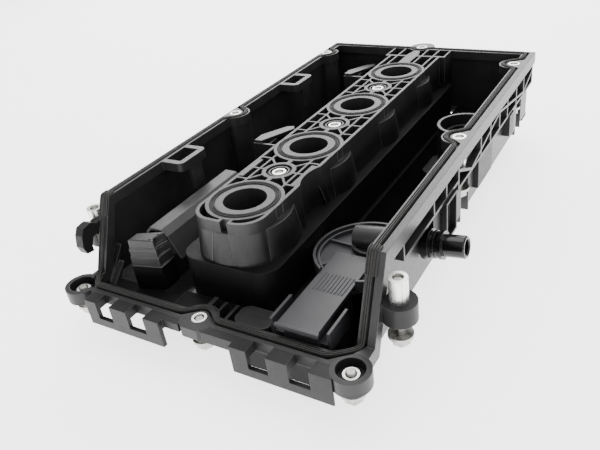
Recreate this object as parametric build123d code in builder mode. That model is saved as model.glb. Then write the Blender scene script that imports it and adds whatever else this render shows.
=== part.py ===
"""Moulded camshaft cover of a four-cylinder engine, lying on its outer side.

The gasket face looks up (+Z). The origin is the centre of the front plug well on the gasket plane.
+Y runs along the engine towards the back, +X towards the side with the breather nozzle. Millimetres.
"""
from build123d import *
from math import cos, radians, sin
import os

os.makedirs("parts", exist_ok=True)

# ---- cylinder layout -------------------------------------------------------
PITCH = 86.0                       # distance between plug wells
WELLS = [0.0, PITCH, 2 * PITCH, 3 * PITCH]
MIDS = [PITCH / 2, 1.5 * PITCH, 2.5 * PITCH]
WELL_R = 14.75                     # plug well bore

# ---- levels ----------------------------------------------------------------
Z_FRONT = -50.0                    # low gasket level at the timing end
Z_FLOOR = -60.0                    # inner face of the roof shoulders
Z_SKIN = -63.0                     # outer face of the roof shoulders
Z_HUMP = -86.0                     # outer face of the two camshaft humps
SKIN = 3.0                         # wall thickness

# ---- plan ------------------------------------------------------------------
Y_SLOPE_TOP = -27.0
Y_SLOPE_LOW = -50.0
Y_FRONT = -70.0
BACK_L = 343.0                     # the back edge runs slightly skew
BACK_R = 330.0
X_LEFT_OUT = -107.0
X_LEFT_IN = -99.0
X_RIGHT_OUT = 112.0
X_RIGHT_IN = 101.0
SKEW = (BACK_R - BACK_L) / (X_RIGHT_OUT - X_LEFT_OUT)

# ---- spine -----------------------------------------------------------------
SPINE_X = 26.4                     # half width at the gasket plane
RING_R = 26.6                      # raised ring round each well
STEP_Z = -8.4                      # shelf under the ring
STEP_R = 31.0
LEDGE_Z = -30.0                    # ledge round the foot of the spine
LEDGE_X = 37.0
LEDGE_Y = -36.0
SPINE_LOW = -64.0
TUBE_R = 18.0                      # plug tube below the ledge

# ---- fasteners -------------------------------------------------------------
SLEEVE_R = 5.0
SLEEVE_BORE = 3.3
NECK_BORE = 2.75
THREAD_R = 3.0
SHANK_R = 2.5
HEAD_R = 7.6
HEX_AF = 10.0
HEAD_H = 7.4
SIDE_BOLTS = [(-100.0, 131.0), (-101.4, 307.0), (102.7, 127.8), (100.7, 294.2), (-3.0, 336.0)]
TALL_BOLTS = [(-115.5, -29.5), (120.0, -32.0)]
FRONT_BOLTS = [(-105.0, -67.0), (-1.0, -65.0), (106.0, -68.5)]
SIDE_BOSS_LOW = -35.0
POCKET_OUT = 11.5                  # wall that wraps the inner side of each side bolt
POCKET_IN = 9.0
POCKET_LOW = -66.0
TALL_BOSS_LOW = -38.5
FRONT_BOSS_LOW = -60.0
TALL_R = 5.6

# ---- gasket ----------------------------------------------------------------
GASKET_W = 3.2
GROOVE_GAP = 0.25
GROOVE_OUT = 1.4                   # extra room on the outer side of the bead
GASKET_X_L = -103.0
GASKET_X_R = 104.0
GASKET_Y_FRONT = -64.0
LOOP_R = 10.0
GASKET_PROUD = 0.9
GASKET_DEEP = 2.2


def back_y(x):
    """Y of the skew back edge at a given X."""
    return BACK_L + SKEW * (x - X_LEFT_OUT)


def slab(x0, x1, y0, y1, z0, z1, mode=Mode.ADD):
    with Locations(((x0 + x1) / 2, (y0 + y1) / 2, (z0 + z1) / 2)):
        Box(x1 - x0, y1 - y0, z1 - z0, mode=mode)


def post(x, y, r, z0, z1, mode=Mode.ADD):
    with Locations((x, y, (z0 + z1) / 2)):
        Cylinder(r, z1 - z0, mode=mode)


def prism_z(points, z0, z1, mode=Mode.ADD):
    """Plan outline pulled from z0 to z1."""
    with BuildSketch(Plane.XY.offset(z0)) as outline:
        Polygon(*points, align=None)
    extrude(outline.sketch, amount=z1 - z0, mode=mode)


def prism_x(points, x0, x1, mode=Mode.ADD):
    """Outline in Y and Z pulled from x0 to x1."""
    with BuildSketch(Plane.YZ.offset(x0)) as outline:
        Polygon(*points, align=None)
    extrude(outline.sketch, amount=x1 - x0, mode=mode)


def prism_y(points, y0, y1, mode=Mode.ADD):
    """Outline in X and Z pulled from y0 to y1."""
    with BuildSketch(Plane.XZ.offset(-y0)) as outline:
        Polygon(*points, align=None)
    extrude(outline.sketch, amount=-(y1 - y0), mode=mode)


def rounded_block(x0, x1, y0, y1, r, z0, z1, taper=0, mode=Mode.ADD):
    """Block with round vertical corners, grown downwards from z1."""
    with BuildSketch(Plane.XY.offset(z1)) as outline:
        with Locations(((x0 + x1) / 2, (y0 + y1) / 2)):
            RectangleRounded(x1 - x0, y1 - y0, r)
    extrude(outline.sketch, amount=-(z1 - z0), taper=taper, mode=mode)


def bar_x(x0, x1, y0, z0, y1, z1, t, mode=Mode.ADD):
    """Straight bar of thickness t between two points of the Y-Z plane."""
    length = ((y1 - y0) ** 2 + (z1 - z0) ** 2) ** 0.5
    ny = -(z1 - z0) / length * t / 2
    nz = (y1 - y0) / length * t / 2
    corners = [(y0 + ny, z0 + nz), (y1 + ny, z1 + nz), (y1 - ny, z1 - nz), (y0 - ny, z0 - nz)]
    prism_x(corners, x0, x1, mode)


def bar_z(x0, y0, x1, y1, t, z0, z1, mode=Mode.ADD):
    """Straight rib of thickness t between two plan points."""
    length = ((x1 - x0) ** 2 + (y1 - y0) ** 2) ** 0.5
    nx = -(y1 - y0) / length * t / 2
    ny = (x1 - x0) / length * t / 2
    corners = [(x0 + nx, y0 + ny), (x1 + nx, y1 + ny), (x1 - nx, y1 - ny), (x0 - nx, y0 - ny)]
    prism_z(corners, z0, z1, mode)


def well_envelope(y, mode=Mode.SUBTRACT):
    """Outer shape of one plug well, used to clear its neighbours."""
    post(0, y, RING_R, STEP_Z - 1, 1, mode)
    with Locations((0, y, (STEP_Z + LEDGE_Z) / 2)):
        Cone(34.7, STEP_R, STEP_Z - LEDGE_Z, mode=mode)


def stroke(points, width, z0, z1, mode=Mode.ADD):
    """Rubber bead along a run of plan points, round at the joints."""
    for (xa, ya), (xb, yb) in zip(points, points[1:]):
        bar_z(xa, ya, xb, yb, width, z0, z1, mode)
    for x, y in points[1:-1]:
        post(x, y, width / 2, z0, z1, mode)


def loop(x, y, side, x_line, r=LOOP_R):
    """Plan points that lead the bead round the inner side of a bolt, going towards +Y."""
    pts = [(x_line, y - r - 4)]
    for a in (-75, -45, -15, 15, 45, 75):
        pts.append((x + side * r * cos(radians(a)), y + r * sin(radians(a))))
    pts.append((x_line, y + r + 4))
    return pts


def bead(width, deep, proud, out=0, mode=Mode.ADD):
    """The perimeter bead on both levels and down both slopes, moved outwards by out."""
    x_left = GASKET_X_L - out
    x_right = GASKET_X_R + out
    y_front = GASKET_Y_FRONT - out
    inset = 5 - out
    r = LOOP_R - out
    (lx1, ly1), (lx2, ly2), (rx1, ry1), (rx2, ry2), (bx, by) = SIDE_BOLTS
    left = [(x_left, Y_SLOPE_TOP)] + loop(lx1, ly1, 1, x_left, r) + loop(lx2, ly2, 1, x_left, r)
    left.append((x_left, back_y(x_left) - inset))
    right = [(x_right, Y_SLOPE_TOP)] + loop(rx1, ry1, -1, x_right, r) + loop(rx2, ry2, -1, x_right, r)
    right.append((x_right, back_y(x_right) - inset))
    back = []
    for a in (165, 135, 105, 75, 45, 15):
        back.append((bx + r * cos(radians(-a)), by + r * sin(radians(-a))))
    run = left + [(bx - r - 4, back_y(bx) - inset)] + back + [(bx + r + 4, back_y(bx) - inset)]
    run += right[::-1]
    stroke(run, width, -deep, proud, mode)
    dy = Y_SLOPE_TOP - Y_SLOPE_LOW
    up = proud / dy * (dy ** 2 + Z_FRONT ** 2) ** 0.5
    down = deep / dy * (dy ** 2 + Z_FRONT ** 2) ** 0.5
    for x in (x_left, x_right):
        slope = [(Y_SLOPE_TOP, up), (Y_SLOPE_LOW, Z_FRONT + up), (Y_SLOPE_LOW, Z_FRONT - down),
                 (Y_SLOPE_TOP, -down)]
        prism_x(slope, x - width / 2, x + width / 2, mode)
    fx, fy = FRONT_BOLTS[1]
    front = [(x_left, Y_SLOPE_LOW + 1), (x_left + 3, -56), (x_left + 10, y_front)]
    front.append((fx - r - 5, y_front))
    for a in (150, 120, 90, 60, 30):
        front.append((fx + r * cos(radians(a)), fy + r * sin(radians(a))))
    front.append((fx + r + 4, y_front))
    front += [(x_right - 15, y_front), (x_right - 5, -57), (x_right, Y_SLOPE_LOW + 1)]
    stroke(front, width, Z_FRONT - deep, Z_FRONT + proud, mode)


def bolt_pocket(x, y, outward):
    """Half-open well round a side bolt, so that its head stays outside the oil space."""
    post(x, y, POCKET_OUT, POCKET_LOW, -8)
    post(x, y, POCKET_IN, POCKET_LOW - 1, SIDE_BOSS_LOW, Mode.SUBTRACT)
    slab(min(x, x + outward * 30), max(x, x + outward * 30), y - POCKET_IN, y + POCKET_IN, POCKET_LOW - 1,
         SIDE_BOSS_LOW, Mode.SUBTRACT)


def clear_pockets(bolts):
    """Room in the roof for the bolt wells."""
    for x, y in bolts:
        post(x, y, POCKET_OUT, POCKET_LOW, 5, Mode.SUBTRACT)
        post(x, y, POCKET_IN, -90, 5, Mode.SUBTRACT)


def groove():
    """Channel for the bead, wider on the outer side."""
    for out in (0, GROOVE_OUT):
        bead(GASKET_W + 2 * GROOVE_GAP, GASKET_DEEP + 0.3, 3.0, out, Mode.SUBTRACT)


def top_band(y_end, depth):
    """Side view of the flange: flat, down the slope, then flat on the low level."""
    return [(y_end, 0), (Y_SLOPE_TOP, 0), (Y_SLOPE_LOW, Z_FRONT), (Y_FRONT, Z_FRONT),
            (Y_FRONT, Z_FRONT - depth), (Y_SLOPE_LOW + 5, Z_FRONT - depth),
            (Y_SLOPE_TOP + 3, -depth), (y_end, -depth)]


def side_plate(y_end):
    """Side view of the wall under the flange."""
    return [(y_end, -1), (Y_SLOPE_TOP - 1, -1), (Y_SLOPE_LOW - 1, Z_FRONT - 1), (-66, Z_FRONT - 1),
            (-66, Z_FLOOR), (y_end, Z_FLOOR)]


# ===========================================================================
# Walls and flange
# ===========================================================================
with BuildPart() as wall_left:
    prism_x(top_band(back_y(X_LEFT_OUT), 8), X_LEFT_OUT, X_LEFT_IN)
    prism_x(side_plate(338), -106, -103)
    for bolt_x, bolt_y in SIDE_BOLTS[0:2]:
        post(bolt_x, bolt_y, 13, -8, 0)
        bolt_pocket(bolt_x, bolt_y, -1)
    for window_y in (46.0, 221.0):
        rounded_block(-104, -79.5, window_y - 16, window_y + 16, 5, -7, 0)
        slab(-98.5, -84.5, window_y - 11, window_y + 11, -8, 1, Mode.SUBTRACT)
        slab(-82.5, -79.5, window_y - 6, window_y + 6, -26, -7)
    prism_x([(-30, -38), (-50, Z_FLOOR), (-42, Z_FLOOR)], -103, -98)
    prism_x([(-36, -48), (-50, Z_FLOOR), (-44, Z_FLOOR)], -98, -93)
    slab(-130, X_LEFT_OUT, 100, 343, -70, 5, Mode.SUBTRACT)
    groove()
    for bolt_x, bolt_y in SIDE_BOLTS[0:2]:
        post(bolt_x, bolt_y, SLEEVE_R, -70, 5, Mode.SUBTRACT)
    post(*FRONT_BOLTS[0], 12, -75, 5, Mode.SUBTRACT)
wall_left.part.label = "wall_left"
export_step(wall_left.part, "parts/wall_left.step")

PIPE_BASE = (104.0, 38.0, -35.8)   # breather pipe axis where it leaves the wall
PIPE_TILT = 6.0
PIPE_DIR = (cos(radians(PIPE_TILT)), 0, sin(radians(PIPE_TILT)))
PIPE_R = 7.4
PIPE_BORE = 5.0


def pipe_piece(s0, s1, r, mode=Mode.ADD):
    """Round length of the breather pipe between two stations along its axis."""
    start = [PIPE_BASE[i] + PIPE_DIR[i] * s0 for i in range(3)]
    with BuildSketch(Plane(origin=tuple(start), x_dir=(0, 1, 0), z_dir=PIPE_DIR)) as outline:
        Circle(r)
    extrude(outline.sketch, amount=s1 - s0, mode=mode)


with BuildPart() as wall_right:
    prism_x(top_band(back_y(X_RIGHT_OUT), 10), X_RIGHT_IN, X_RIGHT_OUT)
    prism_x(side_plate(326), 104, 107)
    for bolt_x, bolt_y in SIDE_BOLTS[2:4]:
        post(bolt_x, bolt_y, 13, -8, 0)
        bolt_pocket(bolt_x, bolt_y, 1)
        slab(107, 130, bolt_y - 12, bolt_y + 12, POCKET_LOW - 1, -10, Mode.SUBTRACT)
    slab(X_RIGHT_OUT, 130, 100, 340, -70, 5, Mode.SUBTRACT)
    groove()
    for bolt_x, bolt_y in SIDE_BOLTS[2:4]:
        post(bolt_x, bolt_y, SLEEVE_R, -70, 5, Mode.SUBTRACT)
    post(*FRONT_BOLTS[2], 12, -75, 5, Mode.SUBTRACT)
    pipe_piece(-8, 8, PIPE_R, Mode.SUBTRACT)
wall_right.part.label = "wall_right"
export_step(wall_right.part, "parts/wall_right.step")

with BuildPart() as wall_back:
    back_band = [(X_LEFT_IN, back_y(X_LEFT_IN)), (X_RIGHT_IN, back_y(X_RIGHT_IN)),
                 (X_RIGHT_IN, back_y(X_RIGHT_IN) - 9), (X_LEFT_IN, back_y(X_LEFT_IN) - 9)]
    prism_z(back_band, -8, 0)
    back_plate = [(-103, back_y(-103) - 2), (104, back_y(104) - 2), (104, back_y(104) - 5),
                  (-103, back_y(-103) - 5)]
    prism_z(back_plate, Z_FLOOR, -8)
    post(*SIDE_BOLTS[4], 13, -8, 0)
    slab(X_RIGHT_IN, 113, 300, 340, -10, 1, Mode.SUBTRACT)
    rear_floor = [(-LEDGE_X, 320), (LEDGE_X, 320), (LEDGE_X, back_y(LEDGE_X) - 2),
                  (-LEDGE_X, back_y(-LEDGE_X) - 2)]
    prism_z(rear_floor, Z_SKIN, Z_FLOOR)
    bolt_x, bolt_y = SIDE_BOLTS[4]
    post(bolt_x, bolt_y, POCKET_OUT, POCKET_LOW, -8)
    post(bolt_x, bolt_y, POCKET_IN, POCKET_LOW - 1, SIDE_BOSS_LOW, Mode.SUBTRACT)
    slab(bolt_x - POCKET_IN, bolt_x + POCKET_IN, bolt_y, 370, POCKET_LOW - 1, SIDE_BOSS_LOW, Mode.SUBTRACT)
    groove()
    post(*SIDE_BOLTS[4], SLEEVE_R, -70, 5, Mode.SUBTRACT)
wall_back.part.label = "wall_back"
export_step(wall_back.part, "parts/wall_back.step")

with BuildPart() as wall_front:
    slab(X_LEFT_IN, X_RIGHT_IN, Y_FRONT, -60, Z_FRONT - 8, Z_FRONT)
    slab(-103, 104, -66, -63, Z_FLOOR, Z_FRONT - 8)
    slab(-LEDGE_X, 22, -66, LEDGE_Y, Z_SKIN, Z_FLOOR)
    post(*FRONT_BOLTS[1], 13, Z_FRONT - 8, Z_FRONT)
    post(*FRONT_BOLTS[1], 10, FRONT_BOSS_LOW, Z_FRONT - 8)
    slab(-30, 40, -90, -76.5, -70, -40, Mode.SUBTRACT)
    for boss in (FRONT_BOLTS[0], FRONT_BOLTS[2]):
        post(*boss, 12, FRONT_BOSS_LOW, Z_FRONT)
    groove()
    post(*FRONT_BOLTS[1], 8.6, -75, FRONT_BOSS_LOW, Mode.SUBTRACT)
    post(*FRONT_BOLTS[1], SLEEVE_R, -75, 5, Mode.SUBTRACT)
    for boss in (FRONT_BOLTS[0], FRONT_BOLTS[2]):
        post(*boss, 8.6, Z_FRONT - 7, Z_FRONT + 1, Mode.SUBTRACT)
        post(*boss, SLEEVE_R, -75, 5, Mode.SUBTRACT)
wall_front.part.label = "wall_front"
export_step(wall_front.part, "parts/wall_front.step")

with BuildPart() as front_pads:
    rounded_block(20, 46, -60, -43, 6, Z_FLOOR, Z_FRONT)
    for rib_x in (4.0, 13.0):
        slab(rib_x, rib_x + 1.8, -60, -44, Z_FLOOR, -52)
    slab(-4, -1, -51.9, -44, Z_FLOOR, -50)
    slab(-72, -28, -60, -57, Z_FLOOR, -54)
    post(*FRONT_BOLTS[1], 13, -61, -49, Mode.SUBTRACT)
front_pads.part.label = "front_pads"
export_step(front_pads.part, "parts/front_pads.step")

# ===========================================================================
# Roof: one hump over each camshaft
# ===========================================================================
HUMP_L = [(-106, Z_FLOOR), (-90, -71), (-80, Z_HUMP), (-46, Z_HUMP), (-40, -72), (-LEDGE_X, SPINE_LOW),
          (-LEDGE_X, Z_FLOOR)]
HUMP_L_IN = [(-101.5, Z_FLOOR + 1), (-101.5, Z_FLOOR), (-87.5, -69), (-78, -83), (-48, -83),
             (-42.7, -70.5), (-40, -62), (-40, Z_FLOOR + 1)]
HUMP_R = [(107, Z_FLOOR), (92, -71), (82, Z_HUMP), (46, Z_HUMP), (40, -72), (LEDGE_X, SPINE_LOW),
          (LEDGE_X, Z_FLOOR)]
HUMP_R_IN = [(102.5, Z_FLOOR + 1), (102.5, Z_FLOOR), (89.5, -69), (80, -83), (48, -83),
             (42.7, -70.5), (40, -62), (40, Z_FLOOR + 1)]
LEFT_HUMP_Y = (-45.0, 322.0)
RIGHT_HUMP_Y = (-59.0, 312.0)
FILLER_XY = (64.0, 220.0)
VENT_XY = (64.0, 20.0)
POCKET_R = 24.5
VENT_R = 16.5

with BuildPart() as roof_left:
    prism_y(HUMP_L, *LEFT_HUMP_Y)
    prism_z([(-106, -66), (-LEDGE_X, -66), (-LEDGE_X, -45), (-106, -45)], Z_SKIN, Z_FLOOR)
    prism_z([(-106, 322), (-LEDGE_X, 322), (-LEDGE_X, back_y(-LEDGE_X) - 2), (-106, back_y(-106) - 2)],
            Z_SKIN, Z_FLOOR)
    prism_y(HUMP_L_IN, LEFT_HUMP_Y[0] + SKIN, LEFT_HUMP_Y[1] - SKIN, Mode.SUBTRACT)
    post(*FRONT_BOLTS[0], 12, -75, 5, Mode.SUBTRACT)
    clear_pockets(SIDE_BOLTS[0:2])
roof_left.part.label = "roof_left"
export_step(roof_left.part, "parts/roof_left.step")

with BuildPart() as roof_right:
    prism_y(HUMP_R, *RIGHT_HUMP_Y)
    slab(22, 60, -59, LEDGE_Y, Z_HUMP, Z_FLOOR)
    prism_z([(22, -66), (107, -66), (107, -59), (22, -59)], Z_SKIN, Z_FLOOR)
    prism_z([(LEDGE_X, 312), (107, 312), (107, back_y(107) - 2), (LEDGE_X, back_y(LEDGE_X) - 2)],
            Z_SKIN, Z_FLOOR)
    prism_y(HUMP_R_IN, RIGHT_HUMP_Y[0] + SKIN, RIGHT_HUMP_Y[1] - SKIN, Mode.SUBTRACT)
    slab(25, 60, -56, LEDGE_Y - SKIN, Z_HUMP + SKIN, Z_FLOOR + 1, Mode.SUBTRACT)
    post(*FRONT_BOLTS[2], 12, -75, 5, Mode.SUBTRACT)
    post(*FILLER_XY, POCKET_R, Z_HUMP - 1, -73, Mode.SUBTRACT)
    post(*VENT_XY, VENT_R, Z_HUMP - 1, -80, Mode.SUBTRACT)
    clear_pockets(SIDE_BOLTS[2:4])
roof_right.part.label = "roof_right"
export_step(roof_right.part, "parts/roof_right.step")

# ===========================================================================
# Spine between the camshafts
# ===========================================================================
with BuildPart() as spine_base:
    rounded_block(-LEDGE_X, LEDGE_X, LEDGE_Y, 320, 14, SPINE_LOW, LEDGE_Z)
    rounded_block(-LEDGE_X + SKIN, LEDGE_X - SKIN, LEDGE_Y + SKIN, 320 - SKIN, 11, SPINE_LOW - 1,
                  LEDGE_Z - SKIN, mode=Mode.SUBTRACT)
    for mid_y in MIDS:
        post(0, mid_y, 8, -58, LEDGE_Z - SKIN)
    for well_y in WELLS:
        post(0, well_y, TUBE_R, -70, 5, Mode.SUBTRACT)
    for mid_y in MIDS:
        post(0, mid_y, SLEEVE_R, -70, 5, Mode.SUBTRACT)
spine_base.part.label = "spine_base"
export_step(spine_base.part, "parts/spine_base.step")

TUBE_PROFILE = [(WELL_R, 0), (20.2, 0), (20.2, -5), (24.0, -5), (24.0, 0), (RING_R, 0), (RING_R, STEP_Z),
                (STEP_R, STEP_Z), (34.7, LEDGE_Z), (31.7, LEDGE_Z), (28.2, -11.4), (TUBE_R, -11.4),
                (TUBE_R, SPINE_LOW), (WELL_R, SPINE_LOW)]
for number, well_y in enumerate(WELLS, start=1):
    with BuildPart() as plug_tube:
        with BuildSketch(Plane.XZ.offset(-well_y)):
            Polygon(*TUBE_PROFILE, align=None)
        revolve(axis=Axis((0, well_y, 0), (0, 0, 1)))
    plug_tube.part.label = f"plug_tube_{number}"
    export_step(plug_tube.part, f"parts/plug_tube_{number}.step")

SEAL_PROFILE = [(20.6, -4.8), (23.6, -4.8), (23.6, 0.2), (23.2, 0.9), (22.7, 0.5), (22.2, 1.0), (21.7, 0.5),
                (21.1, 0.9), (20.6, 0.2)]
for number, well_y in enumerate(WELLS, start=1):
    with BuildPart() as plug_seal:
        with BuildSketch(Plane.XZ.offset(-well_y)):
            Polygon(*SEAL_PROFILE, align=None)
        revolve(axis=Axis((0, well_y, 0), (0, 0, 1)))
    plug_seal.part.label = f"plug_seal_{number}"
    export_step(plug_seal.part, f"parts/plug_seal_{number}.step")

RIB = 1.7
WALL_SIDE = [(SPINE_X, 0), (SPINE_X, STEP_Z), (29.5, LEDGE_Z), (26.8, LEDGE_Z), (23.9, STEP_Z), (23.9, 0)]
RIB_LOW = -28.0


def mirrored(points):
    return [(-u, v) for u, v in points]


def lattice(mid_y):
    """Thin ribs that tie the bolt boss between two wells to the side walls."""
    post(0, mid_y, 12.4, RIB_LOW, 0)
    for side in (-1, 1):
        bar_z(side * 15.5, mid_y - 24, side * 15.5, mid_y + 24, RIB, RIB_LOW, 0)
        bar_z(side * 15.5, mid_y - 17.5, side * 25, mid_y - 17.5, RIB, RIB_LOW, 0)
        bar_z(side * 8, mid_y - 0.8, side * 25, mid_y - 0.8, RIB, RIB_LOW, 0)
        bar_z(side * 15.5, mid_y + 16, side * 25, mid_y + 16, RIB, RIB_LOW, 0)
        bar_z(side * 15.5, mid_y - 17.5, side * 6, mid_y - 6, RIB, RIB_LOW, 0)
        bar_z(side * 15.5, mid_y + 16, side * 6, mid_y + 6, RIB, RIB_LOW, 0)
    bar_z(0.5, mid_y - 24, 0.5, mid_y + 24, 3.4, RIB_LOW, 0)


for number, mid_y in enumerate(MIDS, start=1):
    with BuildPart() as spine_bay:
        prism_y(mirrored(WALL_SIDE), mid_y - PITCH / 2, mid_y + PITCH / 2)
        prism_y(WALL_SIDE, mid_y - PITCH / 2, mid_y + PITCH / 2)
        lattice(mid_y)
        if number == 1:
            slab(19.5, 24.5, mid_y - 17, mid_y + 13, LEDGE_Z, 0)
            post(52.5, mid_y - 1, 30.0, LEDGE_Z, 1, Mode.SUBTRACT)
            slab(-24.5, -21, mid_y - 15, mid_y + 12, RIB_LOW, 0)
        post(0, mid_y, 9.4, -2.2, 1, Mode.SUBTRACT)
        post(0, mid_y, 7.6, -2.2, -0.6)
        post(0, mid_y, 6.4, -2.2, 1, Mode.SUBTRACT)
        post(0, mid_y, SLEEVE_R, -40, 5, Mode.SUBTRACT)
        well_envelope(mid_y - PITCH / 2)
        well_envelope(mid_y + PITCH / 2)
    spine_bay.part.label = f"spine_bay_{number}"
    export_step(spine_bay.part, f"parts/spine_bay_{number}.step")

with BuildPart() as spine_nose:
    rounded_block(-SPINE_X, SPINE_X, -30.6, 40, 17, STEP_Z, 0)
    with BuildSketch(Plane.XY.offset(STEP_Z)):
        with Locations((0, 4.7)):
            RectangleRounded(2 * SPINE_X, 70.6, 17)
    extrude(amount=STEP_Z - LEDGE_Z, dir=(0, 0, -1), taper=-8)
    rounded_block(-SPINE_X + 2.5, SPINE_X - 2.5, -28.1, 40, 14.5, LEDGE_Z - 1, 1, mode=Mode.SUBTRACT)
    slab(1, 6.5, -40, -20, -8, 1, Mode.SUBTRACT)
    slab(-1.5, 1, -29, -24, -20, 0)
    slab(6.5, 8.3, -29, -24, -20, 0)
    slab(-60, 60, 0, 60, -40, 2, Mode.SUBTRACT)
    well_envelope(0)
spine_nose.part.label = "spine_nose"
export_step(spine_nose.part, "parts/spine_nose.step")

with BuildPart() as spine_tail:
    for side in (-1, 1):
        slab(min(side * 26.4, side * 24.2), max(side * 26.4, side * 24.2), 258, 306, RIB_LOW, 0)
    slab(-31, 31.5, 304.5, 307.5, RIB_LOW, 0)
    for rib_x, y_low in ((-30.1, 305), (-18, 270), (7, 270), (19, 268), (30.6, 305)):
        slab(rib_x - 0.9, rib_x + 0.9, y_low, back_y(rib_x) - 9.2, RIB_LOW, 0)
    prism_z([(-8.5, 270), (2.5, 270), (2.5, 312), (-0.5, 322.9), (-6.5, 322.9), (-9, 310)], RIB_LOW, 0)
    post(*SIDE_BOLTS[4], 13, -40, 1, Mode.SUBTRACT)
    well_envelope(WELLS[3])
spine_tail.part.label = "spine_tail"
export_step(spine_tail.part, "parts/spine_tail.step")

# ===========================================================================
# Outer brackets and ribs
# ===========================================================================
LADDER_Z = -70.0


def ladder(uprights, x0, x1):
    """Window frame in front of the low flange, tied back by side ribs."""
    slab(x0, x1, -80, -77, LADDER_Z, LADDER_Z + 6.5)
    for left, right in uprights:
        slab(left, right, -80, -77, LADDER_Z, Z_FRONT)
        slab(left, right, -77, Y_FRONT, Z_FRONT - 3, Z_FRONT)
        slab(left, left + 2, -77, Y_FRONT, -57, Z_FRONT)
        slab(right - 2, right, -77, Y_FRONT, -57, Z_FRONT)


with BuildPart() as bracket_front_left:
    ladder([(-89, -79), (-66, -51), (-36, -23)], -89, -23)
    slab(-23, -9.8, -76, Y_FRONT, -56, Z_FRONT)
    post(*FRONT_BOLTS[0], 12, -75, 5, Mode.SUBTRACT)
    post(*FRONT_BOLTS[1], 13, -75, 5, Mode.SUBTRACT)
bracket_front_left.part.label = "bracket_front_left"
export_step(bracket_front_left.part, "parts/bracket_front_left.step")

with BuildPart() as bracket_front_right:
    ladder([(32, 44), (58, 72), (86, 100)], 32, 100)
    slab(7.8, 32, -76, Y_FRONT, -58, Z_FRONT)
    post(*FRONT_BOLTS[1], 13, -75, 5, Mode.SUBTRACT)
    post(*FRONT_BOLTS[2], 12, -75, 5, Mode.SUBTRACT)
bracket_front_right.part.label = "bracket_front_right"
export_step(bracket_front_right.part, "parts/bracket_front_right.step")

TRUSS_X = (107.0, 112.0)
with BuildPart() as truss_right:
    slab(*TRUSS_X, -4, 99, -21, -19)
    slab(*TRUSS_X, 97, 322, -27, -25)
    for rib_y in (-3.0, 48.0, 72.0, 98.0):
        slab(*TRUSS_X, rib_y - 1, rib_y + 1, -20, -10)
    for rib_y in (98.0, 152.0, 178.0, 205.0, 230.0, 260.0, 287.0, 321.0):
        slab(*TRUSS_X, rib_y - 1, rib_y + 1, -26, -10)
    for y_a, z_a, y_b, z_b in ((98, -12, 128, -25), (128, -25, 205, -11), (205, -11, 287, -24),
                               (287, -24, 321, -14)):
        bar_x(*TRUSS_X, y_a, z_a, y_b, z_b, 2)
    post(*SIDE_BOLTS[2], SLEEVE_R, -70, 5, Mode.SUBTRACT)
truss_right.part.label = "truss_right"
export_step(truss_right.part, "parts/truss_right.step")

with BuildPart() as panels_right:
    slab(107, 110, 51, 64, -50, -21)
    slab(107, 114, 66, 88, -52, -21)
    slab(107, 111, 150, 188, -53, -27)
    slab(107, 113, 236, 250, -46, -27)
    slab(109, 114, 68, 86, -50, -23, Mode.SUBTRACT)
panels_right.part.label = "panels_right"
export_step(panels_right.part, "parts/panels_right.step")

with BuildPart() as tube_boss_left:
    post(*TALL_BOLTS[0], 9.5, TALL_BOSS_LOW, -27)
    prism_x([(-33, -16), (-38, -17), (-43, -14), (-50, -15), (-53, -20), (-55, -28), (-53, -34), (-47, -35),
             (-47, -31), (-44, -25), (-38, -24), (-34, -27)], -114, -106)
    slab(-112, -108, -52, -49, -33, -21, Mode.SUBTRACT)
    slab(-116, -106, -38, -22, -38, -27)
    slab(X_LEFT_OUT, -90, -60, -10, -80, 5, Mode.SUBTRACT)
    post(*TALL_BOLTS[0], TALL_R, -80, 5, Mode.SUBTRACT)
    post(*FRONT_BOLTS[0], 12, -75, 5, Mode.SUBTRACT)
tube_boss_left.part.label = "tube_boss_left"
export_step(tube_boss_left.part, "parts/tube_boss_left.step")

with BuildPart() as tube_boss_right:
    post(*TALL_BOLTS[1], 10.5, TALL_BOSS_LOW, -26)
    slab(106, 118, -40, -24, TALL_BOSS_LOW, -26)
    slab(90, X_RIGHT_OUT, -60, -10, -80, 5, Mode.SUBTRACT)
    post(*TALL_BOLTS[1], TALL_R, -80, 5, Mode.SUBTRACT)
tube_boss_right.part.label = "tube_boss_right"
export_step(tube_boss_right.part, "parts/tube_boss_right.step")

# ===========================================================================
# Rubber
# ===========================================================================
with BuildPart() as perimeter_gasket:
    bead(GASKET_W, GASKET_DEEP, GASKET_PROUD)
perimeter_gasket.part.label = "perimeter_gasket"
export_step(perimeter_gasket.part, "parts/perimeter_gasket.step")

# ===========================================================================
# Sleeves
# ===========================================================================


def sleeve(x, y, r, z_low, z_high, z_neck):
    """Steel limiter sleeve with a narrow neck that keeps the bolt captive."""
    post(x, y, r, z_low, z_high)
    post(x, y, SLEEVE_BORE, z_neck, z_high + 1, Mode.SUBTRACT)
    post(x, y, NECK_BORE, z_neck - 2, z_neck, Mode.SUBTRACT)
    post(x, y, SLEEVE_BORE, z_low - 1, z_neck - 2, Mode.SUBTRACT)


THREAD_L = 13.0                    # thread of the long bolts
THREAD_S = 5.5                     # thread of the short front bolts
NECK_GAP = 0.15


def neck_level(tip, thread=THREAD_L):
    return tip - thread - NECK_GAP


SIDE_TIP = -1.0
TALL_TIP = -12.0
FRONT_TIP = -50.6
CORNER_TIP = -51.8
CENTRE_TIP = -2.0
SIDE_TOP = 0.0
TALL_TOP = -10.5
CORNER_TOP = -53.5

with BuildPart() as sleeves_side:
    for bolt_x, bolt_y in SIDE_BOLTS:
        sleeve(bolt_x, bolt_y, SLEEVE_R, SIDE_BOSS_LOW, SIDE_TOP, neck_level(SIDE_TIP))
sleeves_side.part.label = "sleeves_side"
export_step(sleeves_side.part, "parts/sleeves_side.step")

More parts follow.
